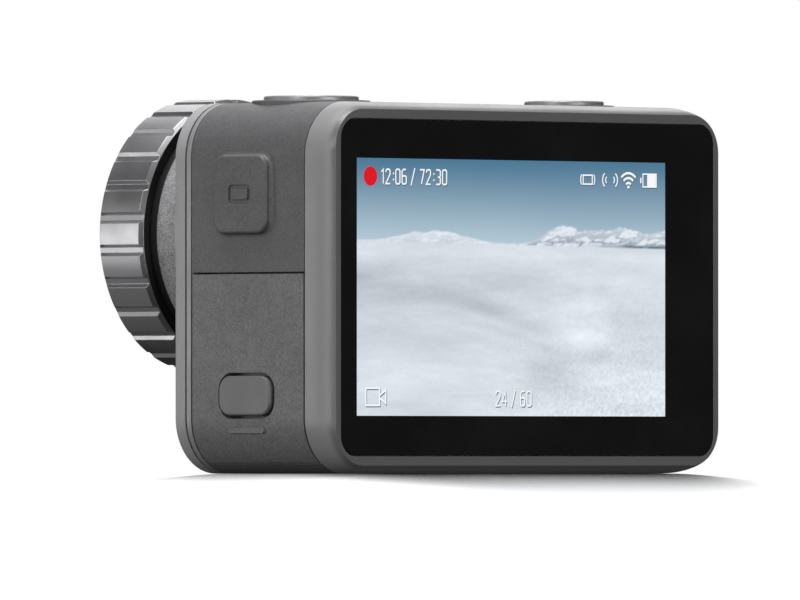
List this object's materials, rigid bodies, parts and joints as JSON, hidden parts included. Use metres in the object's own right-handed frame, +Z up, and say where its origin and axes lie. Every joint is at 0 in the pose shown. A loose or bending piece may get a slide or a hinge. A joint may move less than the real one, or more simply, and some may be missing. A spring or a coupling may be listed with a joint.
{
  "type": "action camera",
  "caption": "Compact rugged camera with a faceted screw-on lens filter ring, rear and front screens, press buttons, a hinged port cover and a slide-out battery.",
  "frame": {"origin": "middle of the base, on the surface that the camera stands on", "axes": "+X towards the lens side, -Y out of the lens, +Y out of the rear screen, +Z up"},
  "size_m": [0.065, 0.0355, 0.0421],
  "materials": {
    "body_grey": "fine matte grain",
    "frame_grey": "fine matte grain",
    "trim_metal": "satin",
    "ring_metal": "turned and faceted, satin",
    "dark_glass": "polished",
    "clear_glass": "coated",
    "screen": "lit display",
    "button_metal": "fine satin",
    "black_plastic": "matte",
    "battery_shell": "matte",
    "seal": "matte",
    "board": "solder mask",
    "steel": "plain",
    "contact": "plated",
    "light": "diffuse"
  },
  "bodies": {
    "body": {"front_frame": "frame_grey", "front_seal": "seal", "trim_band": "trim_metal", "mid_housing": "body_grey", "rear_bezel": "body_grey", "rear_glass": "dark_glass", "rear_glass_gasket": "seal", "rear_display": "screen", "front_glass": "dark_glass", "front_glass_gasket": "seal", "front_display": "screen", "status_light": "light", "lens_boss": "frame_grey", "lens_barrel": "black_plastic", "lens_element_front": "clear_glass", "lens_element_middle": "clear_glass", "lens_element_rear": "clear_glass", "lens_trim_ring": "black_plastic", "sensor_package": "black_plastic", "sensor_board": "board", "sensor_screws": "steel", "record_collar": "body_grey", "record_seal": "seal", "record_switch": "black_plastic", "power_collar": "body_grey", "power_seal": "seal", "power_switch": "black_plastic", "switch_bracket": "steel", "quick_switch_seal": "seal", "quick_switch_dome": "steel", "port_hinge_pin": "steel", "usb_socket": "steel", "card_slot": "steel", "port_board": "board", "battery_bay": "black_plastic", "bay_contacts": "contact", "chassis": "steel", "chassis_screws": "steel", "main_board": "board", "processor": "black_plastic", "shield_can": "steel", "speaker": "black_plastic", "microphones": "steel"},
    "filter_ring": {"filter_ring": "ring_metal", "filter_glass": "clear_glass", "filter_retainer": "black_plastic", "filter_seal": "seal"},
    "record_button": {"record_button": "button_metal"},
    "power_button": {"power_button": "button_metal"},
    "quick_switch": {"quick_switch_button": "body_grey"},
    "port_cover": {"port_cover": "body_grey", "port_cover_gasket": "seal"},
    "port_latch": {"port_latch": "body_grey"},
    "memory_card": {"memory_card": "black_plastic"},
    "battery": {"battery_pack": "battery_shell", "battery_cap": "body_grey", "battery_seal": "seal", "battery_contacts": "contact"},
    "battery_latch_left": {"battery_latch_left": "body_grey"},
    "battery_latch_right": {"battery_latch_right": "body_grey"}
  },
  "joints": [
    {"name": "filter_twist", "type": "hinge", "parent": "body", "child": "filter_ring", "pos_m": [0.01765, 0, 0.02675], "axis": [0, -1, 0], "range_deg": [0, 720]},
    {"name": "record_press", "type": "slide", "parent": "body", "child": "record_button", "axis": [0, 0, -1], "range_m": [0, 0.0005], "stiffness_N_per_m": 4000},
    {"name": "power_press", "type": "slide", "parent": "body", "child": "power_button", "axis": [0, 0, -1], "range_m": [0, 0.0004], "stiffness_N_per_m": 4000},
    {"name": "quick_switch_press", "type": "slide", "parent": "body", "child": "quick_switch", "axis": [-1, 0, 0], "range_m": [0, 0.0005], "stiffness_N_per_m": 4000},
    {"name": "port_cover_swing", "type": "hinge", "parent": "body", "child": "port_cover", "pos_m": [0.03125, 0, 0.02125], "axis": [0, -1, 0], "range_deg": [0, 95]},
    {"name": "port_latch_press", "type": "slide", "parent": "port_cover", "child": "port_latch", "axis": [-1, 0, 0], "range_m": [0, 0.0004], "stiffness_N_per_m": 2500},
    {"name": "memory_card_push", "type": "slide", "parent": "body", "child": "memory_card", "axis": [-1, 0, 0], "range_m": [0, 0.0008], "stiffness_N_per_m": 1500},
    {"name": "battery_slide", "type": "slide", "parent": "body", "child": "battery", "axis": [0, 0, -1], "range_m": [0, 0.034]},
    {"name": "battery_latch_left_slide", "type": "slide", "parent": "battery", "child": "battery_latch_left", "axis": [1, 0, 0], "range_m": [0, 0.0012], "stiffness_N_per_m": 700},
    {"name": "battery_latch_right_slide", "type": "slide", "parent": "battery", "child": "battery_latch_right", "axis": [-1, 0, 0], "range_m": [0, 0.0012], "stiffness_N_per_m": 700}
  ]
}
